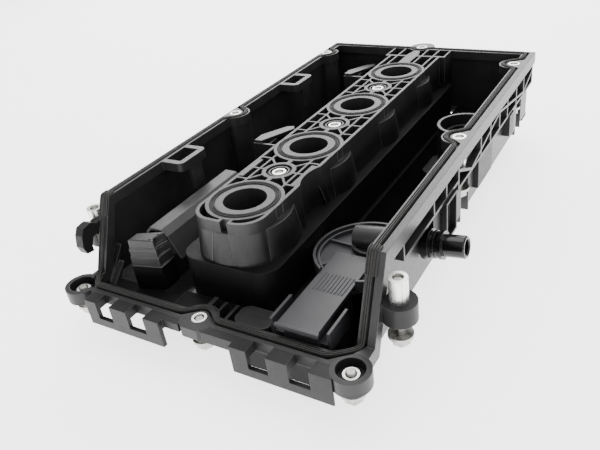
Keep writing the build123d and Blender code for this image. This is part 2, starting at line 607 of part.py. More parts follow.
with BuildPart() as sleeves_tall:
    for bolt_x, bolt_y in TALL_BOLTS:
        sleeve(bolt_x, bolt_y, TALL_R, TALL_BOSS_LOW, TALL_TOP, neck_level(TALL_TIP))
sleeves_tall.part.label = "sleeves_tall"
export_step(sleeves_tall.part, "parts/sleeves_tall.step")

with BuildPart() as sleeves_front:
    sleeve(*FRONT_BOLTS[0], SLEEVE_R, FRONT_BOSS_LOW, CORNER_TOP, neck_level(CORNER_TIP, THREAD_S))
    sleeve(*FRONT_BOLTS[1], SLEEVE_R, FRONT_BOSS_LOW, Z_FRONT, neck_level(FRONT_TIP, THREAD_S))
    sleeve(*FRONT_BOLTS[2], SLEEVE_R, FRONT_BOSS_LOW, CORNER_TOP, neck_level(CORNER_TIP, THREAD_S))
sleeves_front.part.label = "sleeves_front"
export_step(sleeves_front.part, "parts/sleeves_front.step")

with BuildPart() as sleeves_centre:
    for mid_y in MIDS:
        sleeve(0, mid_y, SLEEVE_R, -58, -1, neck_level(CENTRE_TIP))
sleeves_centre.part.label = "sleeves_centre"
export_step(sleeves_centre.part, "parts/sleeves_centre.step")

# ===========================================================================
# Captive bolts, hanging at the end of their travel
# ===========================================================================
DROP = 6.0                         # gap between seat and head while the bolt hangs
DROP_FRONT = 5.5
DROP_TALL = 10.8


def bolt(name, x, y, tip, seat, drop=DROP, thread=THREAD_L):
    """Flange bolt: thread at the top, thin shank, flange and hex head below the seat."""
    head_top = seat - drop
    with BuildPart() as part:
        post(x, y, THREAD_R, tip - thread, tip)
        post(x, y, SHANK_R, head_top, tip - thread)
        post(x, y, HEAD_R, head_top - 2.2, head_top)
        with BuildSketch(Plane.XY.offset(head_top - HEAD_H)) as hexagon:
            with Locations((x, y)):
                RegularPolygon(HEX_AF / 2, 6, major_radius=False)
        extrude(hexagon.sketch, amount=HEAD_H - 2.2)
        chamfer(part.faces().sort_by(Axis.Z)[-1].edges(), 0.6)
        chamfer(part.faces().sort_by(Axis.Z)[0].edges(), 0.5)
    part.part.label = name
    export_step(part.part, f"parts/{name}.step")


SIDE_NAMES = ["bolt_left_mid", "bolt_left_back", "bolt_right_mid", "bolt_right_back", "bolt_back"]
for bolt_name, (bolt_x, bolt_y) in zip(SIDE_NAMES, SIDE_BOLTS):
    bolt(bolt_name, bolt_x, bolt_y, SIDE_TIP, SIDE_BOSS_LOW)
for bolt_name, (bolt_x, bolt_y) in zip(["bolt_tall_left", "bolt_tall_right"], TALL_BOLTS):
    bolt(bolt_name, bolt_x, bolt_y, TALL_TIP, TALL_BOSS_LOW, DROP_TALL)
for bolt_name, (bolt_x, bolt_y), tip in zip(["bolt_front_left", "bolt_front_mid", "bolt_front_right"],
                                            FRONT_BOLTS, (CORNER_TIP, FRONT_TIP, CORNER_TIP)):
    bolt(bolt_name, bolt_x, bolt_y, tip, FRONT_BOSS_LOW, DROP_FRONT, THREAD_S)
for number, mid_y in enumerate(MIDS, start=1):
    bolt(f"bolt_centre_{number}", 0, mid_y, CENTRE_TIP, -58)

# ===========================================================================
# Oil baffles on the left
# ===========================================================================
with BuildPart() as baffle_block:
    with BuildSketch(Plane.XY.offset(-20)):
        Polygon((-72, -45), (-52, -40), (-52, -26.2), (-72, -35), align=None)
    extrude(amount=-39.6, taper=-2)
    slab(-100, -30, -26, 0, -70, 0, Mode.SUBTRACT)
    slab(-55, -45, -40, -30, -32, -29, Mode.SUBTRACT)
baffle_block.part.label = "baffle_block"
export_step(baffle_block.part, "parts/baffle_block.step")

HOOD = [(-44, -41), (-53, -25), (-58, -20.5), (-68, -20), (-72, -24), (-72, -41), (-70, -41), (-70, -25),
        (-67, -22), (-58.5, -22.6), (-54.8, -26), (-46.5, -41)]
with BuildPart() as baffle_hood:
    prism_y(HOOD, -26, 66)
    for foot_y in (-18.0, 24.0, 58.0):
        slab(-45.5, -LEDGE_X, foot_y, foot_y + 5, -42, -39.5)
    slab(-70.5, -46, 63, 66, -41, -27)
baffle_hood.part.label = "baffle_hood"
export_step(baffle_hood.part, "parts/baffle_hood.step")

with BuildPart() as splash_fins:
    for fin_y in (109.0, 281.0):
        slab(-69, -LEDGE_X, fin_y, fin_y + 2, -44, -16)
        prism_z([(-69, fin_y + 2), (-62, fin_y + 2), (-47, fin_y + 32), (-50, fin_y + 37),
                 (-56, fin_y + 34), (-69, fin_y + 13)], -17, -14)
        slab(-57, -55, fin_y + 2, fin_y + 30, -30, -17)
splash_fins.part.label = "splash_fins"
export_step(splash_fins.part, "parts/splash_fins.step")

# ===========================================================================
# Breather on the right: disc, pipe, duct
# ===========================================================================
DISC_XY = (72.5, 25.0)
DISC_R = 35.2
DISC_TOP = -45.5
HUB_XY = (72.0, 38.0)
HUB_R = 15.0
DUCT_X = (53.5, 80.8)
DUCT_TOP = -42.5
DUCT_FRONT = -59.3

with BuildPart() as breather_disc:
    post(*DISC_XY, DISC_R, DISC_TOP - 2.5, DISC_TOP)
    post(*DISC_XY, DISC_R, DISC_TOP, -40)
    post(*DISC_XY, DISC_R - 1.7, DISC_TOP, -39, Mode.SUBTRACT)
    post(*DISC_XY, DISC_R - 2.9, DISC_TOP - 1, -42)
    post(*DISC_XY, DISC_R - 4.3, DISC_TOP, -39, Mode.SUBTRACT)
    bar_z(72.5, 25, 72.5, 57, 1.8, DISC_TOP - 1, -43)
    bar_z(72.5, 30, 42, 33, 1.8, DISC_TOP - 1, -43)
    bar_z(72.5, 30, 50, 4, 1.8, DISC_TOP - 1, -43)
    post(*HUB_XY, HUB_R, DISC_TOP - 5, -38, Mode.SUBTRACT)
    slab(DUCT_X[0], DUCT_X[1], -60, 26, DISC_TOP, -38, Mode.SUBTRACT)
    pipe_piece(-46, 4, 8.7, Mode.SUBTRACT)
    slab(104, 130, -20, 80, -60, -30, Mode.SUBTRACT)
    slab(20, LEDGE_X + 0.1, -20, 80, -60, -30, Mode.SUBTRACT)
breather_disc.part.label = "breather_disc"
export_step(breather_disc.part, "parts/breather_disc.step")

with BuildPart() as breather_pipe:
    post(*HUB_XY, HUB_R, DISC_TOP - 4, -42)
    post(*HUB_XY, HUB_R - 2, -44.5, -41, Mode.SUBTRACT)
    pipe_piece(-44, 0, 8.6)
    pipe_piece(-41.5, 5, PIPE_BORE, Mode.SUBTRACT)
    slab(103.9, 130, 0, 80, -70, -10, Mode.SUBTRACT)
    slab(50, 100, 10, 60, -70, DISC_TOP - 4, Mode.SUBTRACT)
breather_pipe.part.label = "breather_pipe"
export_step(breather_pipe.part, "parts/breather_pipe.step")

with BuildPart() as separator_duct:
    slab(*DUCT_X, DUCT_FRONT, 20, DUCT_TOP - 3, DUCT_TOP)
    for clip_x in (DUCT_X[0] - 6.5, DUCT_X[1] + 4.7):
        slab(clip_x, clip_x + 1.8, -56, -32, -56, DUCT_TOP)
    slab(DUCT_X[0] - 6.5, DUCT_X[0] + 3, -54, -34, -56, -53)
    slab(DUCT_X[1] - 3, DUCT_X[1] + 6.5, -54, -34, -56, -53)
    slab(DUCT_X[0] - 1, DUCT_X[1] + 1, DUCT_FRONT - 0.4, DUCT_FRONT + 1.4, DUCT_TOP - 1.6, DUCT_TOP + 0.4)
    slab(DUCT_X[0] + 2, DUCT_X[1] - 2, DUCT_FRONT + 4, -11, -82.9, DUCT_TOP - 3)
    slab(DUCT_X[0] + 4, DUCT_X[1] - 4, DUCT_FRONT + 6, -13, -80.9, DUCT_TOP - 5, Mode.SUBTRACT)
    for rib_index in range(9):
        rib_x = 57.5 + 2.5 * rib_index
        slab(rib_x, rib_x + 0.9, -22, -4, DUCT_TOP, DUCT_TOP + 0.5)
    post(*HUB_XY, HUB_R, -60, -30, Mode.SUBTRACT)
separator_duct.part.label = "separator_duct"
export_step(separator_duct.part, "parts/separator_duct.step")

with BuildPart() as hose_nozzle:
    pipe_piece(0, 32.7, PIPE_R)
    pipe_piece(5, 10, 10.2)
    pipe_piece(11.5, 13.4, 9.2)
    pipe_piece(16.2, 18.4, 9.4)
    pipe_piece(-2, 40, PIPE_BORE, Mode.SUBTRACT)
    slab(90, 104.1, 20, 60, -60, -20, Mode.SUBTRACT)
    chamfer(hose_nozzle.faces().sort_by(Axis.X)[-1].edges(), 0.8)
hose_nozzle.part.label = "hose_nozzle"
export_step(hose_nozzle.part, "parts/hose_nozzle.step")

with BuildPart() as nozzle_ring:
    pipe_piece(13.4, 16.2, 8.8)
    pipe_piece(10, 20, PIPE_R, Mode.SUBTRACT)
nozzle_ring.part.label = "nozzle_ring"
export_step(nozzle_ring.part, "parts/nozzle_ring.step")

# ===========================================================================
# Oil filler and pressure valve in the right hump
# ===========================================================================
COLLAR_XY = (78.0, 220.0)
COLLAR_R = 23.2
with BuildPart() as filler_collar:
    post(*COLLAR_XY, COLLAR_R, -71, -30)
    post(*COLLAR_XY, COLLAR_R - 2.6, -72, -29, Mode.SUBTRACT)
    post(*COLLAR_XY, COLLAR_R, -50, -47)
    post(*COLLAR_XY, 16.5, -47, -38)
    post(*COLLAR_XY, 14.2, -60, -29, Mode.SUBTRACT)
    prism_y([(102.5, -20), (102.5, Z_FLOOR), (89.5, -69), (80, -83), (48, -83), (42.7, -70.5), (40, -62),
             (40, -20)], 180, 260, Mode.INTERSECT)
filler_collar.part.label = "filler_collar"
export_step(filler_collar.part, "parts/filler_collar.step")

FILLER_BORE = 13.0
with BuildPart() as filler_neck:
    post(*FILLER_XY, POCKET_R, Z_HUMP, -73)
    post(*FILLER_XY, POCKET_R - 2.5, Z_HUMP - 1, -76, Mode.SUBTRACT)
    post(*FILLER_XY, FILLER_BORE, Z_HUMP - 1, -70, Mode.SUBTRACT)
filler_neck.part.label = "filler_neck"
export_step(filler_neck.part, "parts/filler_neck.step")

with BuildPart() as filler_seal:
    post(*FILLER_XY, 16.5, -77.5, -76.1)
    post(*FILLER_XY, 12.9, -78, -76, Mode.SUBTRACT)
filler_seal.part.label = "filler_seal"
export_step(filler_seal.part, "parts/filler_seal.step")

with BuildPart() as filler_cap:
    post(*FILLER_XY, 19.6, -82, -77.8)
    with Locations((FILLER_XY[0], FILLER_XY[1], -83.6)):
        Box(34, 7, 3.4)
    post(*FILLER_XY, 12.5, -77.8, -71)
    post(*FILLER_XY, 10.0, -76, -70, Mode.SUBTRACT)
filler_cap.part.label = "filler_cap"
export_step(filler_cap.part, "parts/filler_cap.step")

with BuildPart() as valve_housing:
    post(*VENT_XY, VENT_R, -85.6, -68)
    post(*VENT_XY, VENT_R - 2.5, -82.6, -67, Mode.SUBTRACT)
    post(*VENT_XY, 5.0, -82.6, -81)
    post(*VENT_XY, 3.0, -90, -80, Mode.SUBTRACT)
valve_housing.part.label = "valve_housing"
export_step(valve_housing.part, "parts/valve_housing.step")

with BuildPart() as valve_diaphragm:
    post(*VENT_XY, 13.6, -72.5, -71)
    post(*VENT_XY, 9.0, -71, -69.5)
valve_diaphragm.part.label = "valve_diaphragm"
export_step(valve_diaphragm.part, "parts/valve_diaphragm.step")

SPRING_R = 7.5
SPRING_WIRE = 0.8
SPRING_LOW = -82.6
SPRING_HIGH = -72.5
with BuildPart() as valve_spring:
    with BuildLine():
        Helix(pitch=2.2, height=SPRING_HIGH - SPRING_LOW - 2 * SPRING_WIRE, radius=SPRING_R,
              center=(VENT_XY[0], VENT_XY[1], SPRING_LOW + SPRING_WIRE))
    with BuildSketch(Plane(origin=(VENT_XY[0] + SPRING_R, VENT_XY[1], SPRING_LOW + SPRING_WIRE),
                           z_dir=(0, 1, 0))):
        Circle(SPRING_WIRE)
    sweep()
valve_spring.part.label = "valve_spring"
export_step(valve_spring.part, "parts/valve_spring.step")
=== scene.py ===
"""Looks of the moulded camshaft cover. Metres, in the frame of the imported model."""
from math import cos, pi, radians, sin

import bmesh
import bpy
from mathutils import Matrix, Vector


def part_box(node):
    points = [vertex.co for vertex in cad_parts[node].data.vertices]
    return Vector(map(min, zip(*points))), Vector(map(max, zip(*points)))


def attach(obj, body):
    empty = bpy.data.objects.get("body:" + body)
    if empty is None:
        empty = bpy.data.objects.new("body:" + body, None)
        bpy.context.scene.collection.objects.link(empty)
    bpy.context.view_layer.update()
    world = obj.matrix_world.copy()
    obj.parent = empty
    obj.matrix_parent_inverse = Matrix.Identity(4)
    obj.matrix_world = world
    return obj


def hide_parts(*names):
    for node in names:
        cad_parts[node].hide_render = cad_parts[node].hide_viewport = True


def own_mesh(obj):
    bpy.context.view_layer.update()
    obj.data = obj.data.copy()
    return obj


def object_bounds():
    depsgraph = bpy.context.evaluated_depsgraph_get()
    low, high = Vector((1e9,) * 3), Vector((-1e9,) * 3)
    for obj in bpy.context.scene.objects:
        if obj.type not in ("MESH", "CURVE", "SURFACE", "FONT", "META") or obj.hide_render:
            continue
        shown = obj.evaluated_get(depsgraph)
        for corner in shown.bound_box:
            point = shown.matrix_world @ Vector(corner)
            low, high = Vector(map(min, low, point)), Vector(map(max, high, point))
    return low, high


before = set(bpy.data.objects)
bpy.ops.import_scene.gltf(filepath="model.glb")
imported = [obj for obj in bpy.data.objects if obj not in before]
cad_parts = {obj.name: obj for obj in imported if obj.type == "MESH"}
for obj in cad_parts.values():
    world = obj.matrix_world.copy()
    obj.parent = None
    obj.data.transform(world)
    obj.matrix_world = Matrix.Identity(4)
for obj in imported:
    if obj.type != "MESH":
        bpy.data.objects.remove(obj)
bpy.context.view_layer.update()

MM = 0.001
COVER = "cover"

# ---------------------------------------------------------------------------
# Materials
# ---------------------------------------------------------------------------


EDGE_SAMPLES = 6        # rays of each bevel lookup in the materials
BUMP_DEPTH = 0.2 * MM
# Colour of the painted shade that darkens surfaces lower down
SHADE_BLACK = (0.001, 0.001, 0.001, 1)


def start(name):
    """Empty node material: its tree, its shader and the object coordinates."""
    mat = bpy.data.materials.new(name)
    mat.use_nodes = True
    tree = mat.node_tree
    tree.nodes.clear()
    out = tree.nodes.new("ShaderNodeOutputMaterial")
    shader = tree.nodes.new("ShaderNodeBsdfPrincipled")
    tree.links.new(shader.outputs[0], out.inputs[0])
    coords = tree.nodes.new("ShaderNodeTexCoord")
    return mat, tree, shader, coords.outputs["Object"]


def noise(tree, vector, scale, detail=3.0, rough=0.55):
    node = tree.nodes.new("ShaderNodeTexNoise")
    node.inputs["Scale"].default_value = scale
    node.inputs["Detail"].default_value = detail
    node.inputs["Roughness"].default_value = rough
    tree.links.new(vector, node.inputs["Vector"])
    return node.outputs[0]


def stretch(tree, vector, scale):
    node = tree.nodes.new("ShaderNodeMapping")
    node.inputs["Scale"].default_value = scale
    tree.links.new(vector, node.inputs["Vector"])
    return node.outputs[0]


NOISE_LOW, NOISE_HIGH = 0.3, 0.7        # the part of a noise's range that is used


def ramp(tree, value, low, high):
    node = tree.nodes.new("ShaderNodeValToRGB")
    node.color_ramp.elements[0].position = NOISE_LOW
    node.color_ramp.elements[1].position = NOISE_HIGH
    node.color_ramp.elements[0].color = (*low, 1)
    node.color_ramp.elements[1].color = (*high, 1)
    tree.links.new(value, node.inputs[0])
    return node.outputs[0]


def spread(tree, value, low, high):
    node = tree.nodes.new("ShaderNodeMapRange")
    node.inputs["From Min"].default_value = NOISE_LOW
    node.inputs["From Max"].default_value = NOISE_HIGH
    node.inputs["To Min"].default_value = low
    node.inputs["To Max"].default_value = high
    tree.links.new(value, node.inputs["Value"])
    return node.outputs[0]


def blend_colour(tree, factor, surface, edge):
    """Mix of the linked surface colour, at factor 0, and the plain edge colour, at 1."""
    node = tree.nodes.new("ShaderNodeMix")
    node.data_type = "RGBA"
    tree.links.new(factor, node.inputs[0])
    tree.links.new(surface, node.inputs[6])
    node.inputs[7].default_value = (*edge, 1)
    return node.outputs[2]


def bevel_normal(tree, radius):
    node = tree.nodes.new("ShaderNodeBevel")
    node.samples = EDGE_SAMPLES
    node.inputs["Radius"].default_value = radius
    return node.outputs[0]


def sheen_edge_mask(tree, radius):
    """White along convex and concave edges, where the rounded normal leaves the flat one."""
    bevel = bevel_normal(tree, radius)
    flat = tree.nodes.new("ShaderNodeNewGeometry")
    dot = tree.nodes.new("ShaderNodeVectorMath")
    dot.operation = "DOT_PRODUCT"
    tree.links.new(bevel, dot.inputs[0])
    tree.links.new(flat.outputs["Normal"], dot.inputs[1])
    span = tree.nodes.new("ShaderNodeMapRange")
    span.inputs["From Min"].default_value = 0.998
    span.inputs["From Max"].default_value = 0.85
    tree.links.new(dot.outputs["Value"], span.inputs["Value"])
    return span.outputs[0]


def bump(tree, shader, height, strength, round_edges):
    """Surface relief on top of edges rounded by round_edges metres."""
    node = tree.nodes.new("ShaderNodeBump")
    node.inputs["Strength"].default_value = strength
    node.inputs["Distance"].default_value = BUMP_DEPTH
    tree.links.new(height, node.inputs["Height"])
    tree.links.new(bevel_normal(tree, round_edges), node.inputs["Normal"])
    tree.links.new(node.outputs[0], shader.inputs["Normal"])


def paint_shade_below(tree, where, colour, low, high, share):
    """Painted shade that darkens the surface from height high down to low, in metres."""
    split = tree.nodes.new("ShaderNodeSeparateXYZ")
    tree.links.new(where, split.inputs[0])
    span = tree.nodes.new("ShaderNodeMapRange")
    span.inputs["From Min"].default_value = low
    span.inputs["From Max"].default_value = high
    span.inputs["To Min"].default_value = 1 - share
    tree.links.new(split.outputs[2], span.inputs["Value"])
    node = tree.nodes.new("ShaderNodeMix")
    node.data_type = "RGBA"
    tree.links.new(span.outputs[0], node.inputs[0])
    tree.links.new(colour, node.inputs[7])
    node.inputs[6].default_value = SHADE_BLACK
    return node.outputs[2]


def plastic(name, dark, light, rough, edge, specular=0.5, grain=0.06, coat=0.0, painted_shade=()):
    """Moulded plastic: cloudy tone, fine spark-eroded grain, paler edges as painted sheen."""
    mat, tree, shader, where = start(name)
    cloud = noise(tree, where, 55, 4)
    colour = ramp(tree, cloud, dark, light)
    # Painted shade: the colour goes darker from a given height downwards.
    if painted_shade:
        colour = paint_shade_below(tree, where, colour, *painted_shade)
    # Painted sheen: the edges take the paler edge tone.
    colour = blend_colour(tree, sheen_edge_mask(tree, 0.7 * MM), colour, edge)
    tree.links.new(colour, shader.inputs["Base Color"])
    tree.links.new(spread(tree, noise(tree, where, 420, 4), rough - 0.05, rough + 0.07),
                   shader.inputs["Roughness"])
    shader.inputs["Specular IOR Level"].default_value = specular
    shader.inputs["Coat Weight"].default_value = coat
    bump(tree, shader, noise(tree, where, 2600, 2), grain, 0.6 * MM)
    return mat


def metal(name, dark, light, mark_scale):
    """Plated steel, cloudy between dark and light, with marks turned round its axis."""
    mat, tree, shader, where = start(name)
    colour = ramp(tree, noise(tree, where, 260, 5), dark, light)
    tree.links.new(colour, shader.inputs["Base Color"])
    shader.inputs["Metallic"].default_value = 1.0
    shader.inputs["Anisotropic"].default_value = 0.3
    tree.links.new(spread(tree, noise(tree, where, 900, 3), 0.24, 0.4),
                   shader.inputs["Roughness"])
    marks = noise(tree, stretch(tree, where, (1, 1, mark_scale)), 60, 2)
    bump(tree, shader, marks, 0.12, 0.3 * MM)
    return mat


def rubber(name, dark, light, crest_sheen):
    """Moulded rubber: cloudy black with a paler painted sheen along its crests."""
    mat, tree, shader, where = start(name)
    colour = ramp(tree, noise(tree, where, 130, 5), dark, light)
    # Painted sheen: crests and edges take a paler tone.
    colour = blend_colour(tree, sheen_edge_mask(tree, 0.4 * MM), colour, crest_sheen)
    tree.links.new(colour, shader.inputs["Base Color"])
    tree.links.new(spread(tree, noise(tree, where, 600, 4), 0.55, 0.72),
                   shader.inputs["Roughness"])
    shader.inputs["Specular IOR Level"].default_value = 0.4
    shader.inputs["Sheen Weight"].default_value = 0.1
    bump(tree, shader, noise(tree, where, 1500, 3), 0.12, 0.4 * MM)
    return mat


# name, dark and light tone, roughness, edge tone of the painted sheen, specular level
NYLON = plastic("black_nylon", (0.013, 0.013, 0.0135), (0.024, 0.024, 0.0245), 0.38,
                (0.075, 0.075, 0.077))
# Painted light: a lighter copy of the nylon for the spine, with painted shade below its top.
NYLON_SPINE_LIT = plastic("black_nylon_spine_painted_light", (0.018, 0.018, 0.0185), (0.030, 0.030, 0.031), 0.38,
                    (0.095, 0.095, 0.097), 0.34, painted_shade=(-0.02, -0.002, 0.85))
# Painted shade: a darker copy of the nylon for the brackets, bosses and right panels.
NYLON_OUTER_SHADE = plastic("black_nylon_outer_painted_shade", (0.006, 0.006, 0.0062), (0.012, 0.012, 0.0123), 0.44,
                      (0.045, 0.045, 0.046), 0.26)
# Painted shade: a very dark copy of the nylon for the deep inside of the cover.
NYLON_DEEP_SHADE = plastic("black_nylon_deep_painted_shade", (0.0020, 0.0020, 0.0021), (0.0045, 0.0045, 0.0046),
                     0.50, (0.010, 0.010, 0.010), 0.16)
# Painted shade: a darker copy of the nylon for the front wall and pads, darker still at the
# wall's bottom.
NYLON_FRONT_SHADE = plastic("black_nylon_front_painted_shade", (0.009, 0.009, 0.0093), (0.017, 0.017, 0.0174), 0.40,
                      (0.06, 0.06, 0.062), 0.36, painted_shade=(-0.0595, -0.057, 0.9))
GREY = plastic("grey_nylon", (0.028, 0.028, 0.031), (0.044, 0.044, 0.048), 0.40,
               (0.10, 0.10, 0.105))
GLOSS = plastic("gloss_black", (0.002, 0.002, 0.002), (0.004, 0.004, 0.004), 0.15,
                (0.010, 0.010, 0.010), 0.32, grain=0.02, coat=0.12)
RUBBER = rubber("gasket_rubber", (0.0045, 0.0045, 0.0042), (0.011, 0.0108, 0.010),
                (0.085, 0.083, 0.077))
SEAL = rubber("well_seal_rubber", (0.008, 0.008, 0.008), (0.016, 0.015, 0.015),
              (0.05, 0.05, 0.048))
ZINC = metal("zinc_plate", (0.30, 0.29, 0.265), (0.50, 0.50, 0.48), 30)
SLEEVE = metal("bright_sleeve", (0.74, 0.73, 0.70), (0.93, 0.92, 0.90), 40)
WIRE = metal("spring_wire", (0.30, 0.30, 0.30), (0.50, 0.50, 0.50), 20)

# Start of a node's name and its material; the first that fits is taken
FINISHES = (
    (("bolt_",), ZINC),
    (("sleeves_",), SLEEVE),
    (("plug_seal",), SEAL),
    (("perimeter_gasket", "filler_seal", "valve_diaphragm"), RUBBER),
    (("valve_spring",), WIRE),
    (("hose_nozzle", "nozzle_ring"), GLOSS),
    (("separator_duct", "breather_disc"), GREY),
    # Painted shade and light: the deep, front and outer parts take darker copies of the nylon,
    # the spine a lighter one.
    (("roof_left", "roof_right", "spine_base", "valve_housing"), NYLON_DEEP_SHADE),
    (("wall_front", "front_pads"), NYLON_FRONT_SHADE),
    (("bracket_front", "tube_boss", "panels_right"), NYLON_OUTER_SHADE),
    (("plug_tube", "spine_bay", "spine_nose", "spine_tail"), NYLON_SPINE_LIT),
)


def material_for(name):
    return next((mat for starts, mat in FINISHES if name.startswith(starts)), NYLON)


for node_name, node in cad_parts.items():
    chosen = material_for(node_name)
    if not node.material_slots:
        node.data.materials.append(chosen)
    for place in node.material_slots:
        place.material = chosen

# ---------------------------------------------------------------------------
# Mesh helpers for the added pieces. Their numbers are millimetres.
# ---------------------------------------------------------------------------
MERGE_DISTANCE = 1e-7
SHARP_ANGLE = radians(35)
BEVEL_ANGLE = radians(40)


def make(name, bm, mat, body=COVER, smooth=True, bevel=0.0):
    """Object from a bmesh, riding on a body, with its narrow bevel if it has one."""
    mesh = bpy.data.meshes.new(name)
    bmesh.ops.remove_doubles(bm, verts=bm.verts, dist=MERGE_DISTANCE)
    bmesh.ops.recalc_face_normals(bm, faces=bm.faces)
    bm.to_mesh(mesh)
    bm.free()
    obj = bpy.data.objects.new(name, mesh)
    bpy.context.scene.collection.objects.link(obj)
    mesh.materials.append(mat)
    if smooth:
        for face in mesh.polygons:
            face.use_smooth = True
        mesh.set_sharp_from_angle(angle=SHARP_ANGLE)
    if bevel:
        mod = obj.modifiers.new("edges", "BEVEL")
        mod.width = bevel * MM
        mod.segments = 2
        mod.limit_method = "ANGLE"
        mod.angle_limit = BEVEL_ANGLE
    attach(obj, body)
    return obj


def add_revolved(bm, profile, x, y, steps=96):
    """Closed ring from (radius, height) pairs round a vertical axis."""
    rows = []
    for k in range(steps):
        a = 2 * pi * k / steps
        rows.append([bm.verts.new(Vector((x + r * cos(a), y + r * sin(a), z)) * MM)
                     for r, z in profile])
    for k in range(steps):
        a, b = rows[k], rows[(k + 1) % steps]
        for i in range(len(profile)):
            j = (i + 1) % len(profile)
            bm.faces.new((a[i], b[i], b[j], a[j]))


def add_lofted(bm, rings):
    """Solid through rings of equal point count, capped at both ends."""
    rows = [[bm.verts.new(Vector(p) * MM) for p in ring] for ring in rings]
    for a, b in zip(rows, rows[1:]):
        for k in range(len(a)):
            j = (k + 1) % len(a)
            bm.faces.new((a[k], a[j], b[j], b[k]))
    bm.faces.new(list(reversed(rows[0])))
    bm.faces.new(rows[-1])


def add_upright(bm, outline, low_z, high_z):
    """Upright solid over a plan outline."""
    add_lofted(bm, [[(x, y, z) for x, y in outline] for z in (low_z, high_z)])


def add_swept(bm, path, profile, ups):
    """Closed section (side, up) carried along plan points with given up directions."""
    rows = []
    for k, p in enumerate(path):
        before = path[max(k - 1, 0)]
        after = path[min(k + 1, len(path) - 1)]
        along = (after - before).normalized()
        up = ups[k]
        side = along.cross(up).normalized()
        rows.append([bm.verts.new((p + side * s + up * h) * MM) for s, h in profile])
    count = len(profile)
    for a, b in zip(rows, rows[1:]):
        for i in range(count):
            j = (i + 1) % count
            bm.faces.new((a[i], b[i], b[j], a[j]))
    bm.faces.new(rows[0])
    bm.faces.new(list(reversed(rows[-1])))


# ---------------------------------------------------------------------------
# Perimeter gasket: three small ribs on a rubber base, following the flange
# ---------------------------------------------------------------------------
LEFT_BOLTS = [(-100.0, 131.0), (-101.4, 307.0)]
RIGHT_BOLTS = [(102.7, 127.8), (100.7, 294.2)]
BACK_BOLT = (-3.0, 336.0)
FRONT_MID_BOLT = (-1.0, -65.0)
X_L, X_R = -103.0, 104.0        # gasket lines of the two sides
BACK_INSET = 5                  # from the outer edge of the back flange to the gasket
FRONT_Y, FRONT_Z = -64, -50     # the low front run
LOOP = 10.0                     # radius of the gasket's way round a bolt
LEAD = LOOP + 4                 # where that way leaves the straight line
FLAT = Vector((0, 0, 1))
SLOPE_UP = Vector((0, -50, 23)).normalized()


def back_y(x):
    """Outer edge of the back flange, which runs slightly askew."""
    return 343.0 - 13.0 / 219.0 * (x + 107.0)


def arc(x, y, angles):
    return [(x + LOOP * cos(radians(a)), y + LOOP * sin(radians(a))) for a in angles]


def loop_points(x, y, side, x_line):
    """The way round a side bolt, on its inner side: side is 1 on the left, -1 on the right."""
    pts = [(x_line, y - LEAD)]
    for a in range(-75, 76, 15):
        pts.append((x + side * LOOP * cos(radians(a)), y + LOOP * sin(radians(a))))
    pts.append((x_line, y + LEAD))
    return pts


def gasket_path():
    """(point, up) pairs round the cover, starting at the foot of the left slope."""
    path = [((X_L, -50, FRONT_Z), SLOPE_UP), ((X_L, -27, 0), SLOPE_UP)]
    flat = [(X_L, -24)]
    for x, y in LEFT_BOLTS:
        flat += loop_points(x, y, 1, X_L)
    flat.append((X_L, back_y(X_L) - BACK_INSET))
    bolt_x, bolt_y = BACK_BOLT
    back_line = back_y(bolt_x) - BACK_INSET
    flat.append((bolt_x - LEAD, back_line))
    flat += arc(bolt_x, bolt_y, range(-165, -14, 15))
    flat.append((bolt_x + LEAD, back_line))
    right = [(X_R, -24)]
    for x, y in RIGHT_BOLTS:
        right += loop_points(x, y, -1, X_R)
    right.append((X_R, back_y(X_R) - BACK_INSET))
    flat += right[::-1]
    path += [((x, y, 0), FLAT) for x, y in flat]
    path += [((X_R, -27, 0), SLOPE_UP), ((X_R, -50, FRONT_Z), SLOPE_UP)]
    bolt_x, bolt_y = FRONT_MID_BOLT
    front = [(X_R, -52), (X_R - 5, -57), (X_R - 15, FRONT_Y), (bolt_x + LEAD, FRONT_Y)]
    front += arc(bolt_x, bolt_y, range(30, 151, 15))
    front += [(bolt_x - LEAD - 1, FRONT_Y), (X_L + 10, FRONT_Y), (X_L + 3, -56), (X_L, -52)]
    path += [((x, y, FRONT_Z), FLAT) for x, y in front]
    return [(Vector(p), up) for p, up in path]


EASING_PASSES = 3


def dense(path, step):
    """Closed run with points about a step apart, its corners eased by averaging."""
    out = []
    for (pa, ua), (pb, ub) in zip(path, path[1:] + path[:1]):
        count = max(1, int((pb - pa).length / step))
        for i in range(count):
            t = i / count
            out.append((pa.lerp(pb, t), ua.lerp(ub, t).normalized()))
    for _ in range(EASING_PASSES):
        count = len(out)
        eased = []
        for i in range(count):
            before, here, after = out[i - 1], out[i], out[(i + 1) % count]
            eased.append(((before[0] + here[0] * 2 + after[0]) / 4,
                          (before[1] + here[1] * 2 + after[1]).normalized()))
        out = eased
    return out


BEAD = [(-1.6, -1.6), (1.6, -1.6), (1.6, 0.35), (1.4, 0.85), (1.1, 0.85), (0.9, 0.1),
        (0.5, 0.1), (0.28, 0.9), (-0.28, 0.9), (-0.5, 0.1), (-0.9, 0.1), (-1.1, 0.85),
        (-1.4, 0.85), (-1.6, 0.35)]


def closed_sweep(bm, run, profile):
    """Closed section (side, up) carried once round a closed run."""
    count = len(run)
    rows = []
    for i in range(count):
        along = (run[(i + 1) % count][0] - run[i - 1][0]).normalized()
        up = run[i][1]
        side = along.cross(up).normalized()
        up = side.cross(along).normalized()
        rows.append([bm.verts.new((run[i][0] + side * s + up * h) * MM) for s, h in profile])
    for i in range(count):
        a, b = rows[i], rows[(i + 1) % count]
        for k in range(len(profile)):
            j = (k + 1) % len(profile)
            bm.faces.new((a[k], b[k], b[j], a[j]))


